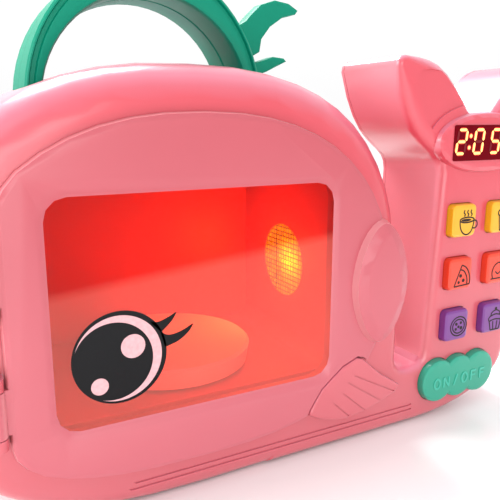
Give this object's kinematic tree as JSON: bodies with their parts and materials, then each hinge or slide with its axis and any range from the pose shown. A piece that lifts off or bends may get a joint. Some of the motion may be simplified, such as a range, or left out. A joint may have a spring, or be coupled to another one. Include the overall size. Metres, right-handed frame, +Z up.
{
  "type": "toy microwave oven",
  "caption": "Toy microwave in the shape of a whale, with a hinged door, turntable, display, push buttons and a carrying handle.",
  "frame": {"origin": "middle of the bounding box at the feet's undersides", "axes": "+Z up, -Y out of the front with the door and buttons, +X towards the tail"},
  "size_m": [0.3564, 0.1366, 0.248],
  "materials": {
    "pink_plastic": "smooth moulded, satin gloss",
    "door_plastic": "smooth moulded, satin",
    "red_clear": "clear red plastic",
    "blush_plastic": "fine matt",
    "white_plastic": "fine matt",
    "silver_plastic": "bright sprayed inside",
    "amber_clear": "clear amber plastic, ribbed",
    "steel": "plain steel",
    "black_plastic": "matt",
    "battery_sleeve": "plain printed sleeve without words",
    "yellow_plastic": "smooth moulded",
    "orange_plastic": "smooth moulded",
    "purple_plastic": "smooth moulded",
    "green_button": "smooth moulded",
    "rubber": "matt",
    "board": "lacquered circuit board",
    "green_plastic": "smooth moulded, satin gloss"
  },
  "bodies": {
    "casing": {"battery_1": "battery_sleeve", "battery_2": "battery_sleeve", "battery_3": "battery_sleeve", "battery_door": "pink_plastic", "battery_door_screw": "steel", "button_board": "board", "casing_screw_1": "steel", "casing_screw_2": "steel", "casing_screw_3": "steel", "casing_screw_4": "steel", "casing_screw_5": "steel", "casing_screw_6": "steel", "catch_clip": "white_plastic", "cavity_liner": "blush_plastic", "contacts_back": "steel", "contacts_front": "steel", "cover_screw_1": "steel", "cover_screw_2": "steel", "cover_screw_3": "steel", "display_module": "black_plastic", "display_window": "red_clear", "foot_back_left": "rubber", "foot_back_right": "rubber", "foot_front_left": "rubber", "foot_front_right": "rubber", "front_casing": "pink_plastic", "gear_motor": "steel", "gearbox_tray": "white_plastic", "handle_front": "green_plastic", "handle_rear": "green_plastic", "handle_screw_1": "steel", "handle_screw_2": "steel", "hinge_pin_lower": "steel", "hinge_pin_upper": "steel", "keypad_mat": "rubber", "lamp_led": "white_plastic", "lamp_lens": "amber_clear", "lamp_reflector": "silver_plastic", "rear_casing": "pink_plastic", "side_fin": "pink_plastic", "speaker": "black_plastic", "tail_cover": "pink_plastic"},
    "door": {"door_frame": "door_plastic", "door_window": "red_clear", "door_catch": "white_plastic"},
    "turntable": {"turntable_plate": "white_plastic", "drive_gear": "white_plastic"},
    "pinion": {"motor_pinion": "white_plastic"},
    "push_button_1": {"button_1": "yellow_plastic"},
    "push_button_2": {"button_2": "yellow_plastic"},
    "push_button_3": {"button_3": "orange_plastic"},
    "push_button_4": {"button_4": "orange_plastic"},
    "push_button_5": {"button_5": "purple_plastic"},
    "push_button_6": {"button_6": "purple_plastic"},
    "start_key": {"start_button": "green_button"}
  },
  "joints": [
    {"name": "door_hinge", "type": "hinge", "parent": "casing", "child": "door", "pos_m": [-0.15225, -0.06235, 0.0885], "axis": [0, 0, 1], "range_deg": [-110, 0]},
    {"name": "turntable_spin", "type": "hinge", "parent": "casing", "child": "turntable", "pos_m": [-0.05725, 0.00275, 0.05], "axis": [0, 0, 1], "continuous": true},
    {"name": "pinion_spin", "type": "hinge", "parent": "casing", "child": "pinion", "pos_m": [-0.05725, -0.0224, 0.032], "axis": [0, 0, 1], "continuous": true},
    {"name": "button_1_press", "type": "slide", "parent": "casing", "child": "push_button_1", "axis": [0, 1, 0], "range_m": [0, 0.0015], "stiffness_N_per_m": 400},
    {"name": "button_2_press", "type": "slide", "parent": "casing", "child": "push_button_2", "axis": [0, 1, 0], "range_m": [0, 0.0015], "stiffness_N_per_m": 400},
    {"name": "button_3_press", "type": "slide", "parent": "casing", "child": "push_button_3", "axis": [0, 1, 0], "range_m": [0, 0.0015], "stiffness_N_per_m": 400},
    {"name": "button_4_press", "type": "slide", "parent": "casing", "child": "push_button_4", "axis": [0, 1, 0], "range_m": [0, 0.0015], "stiffness_N_per_m": 400},
    {"name": "button_5_press", "type": "slide", "parent": "casing", "child": "push_button_5", "axis": [0, 1, 0], "range_m": [0, 0.0015], "stiffness_N_per_m": 400},
    {"name": "button_6_press", "type": "slide", "parent": "casing", "child": "push_button_6", "axis": [0, 1, 0], "range_m": [0, 0.0015], "stiffness_N_per_m": 400},
    {"name": "start_press", "type": "slide", "parent": "casing", "child": "start_key", "axis": [0, 1, 0], "range_m": [0, 0.0015], "stiffness_N_per_m": 400}
  ],
  "couplings": [
    {"joint": "pinion_spin", "follows": "turntable_spin", "ratio": -4}
  ]
}
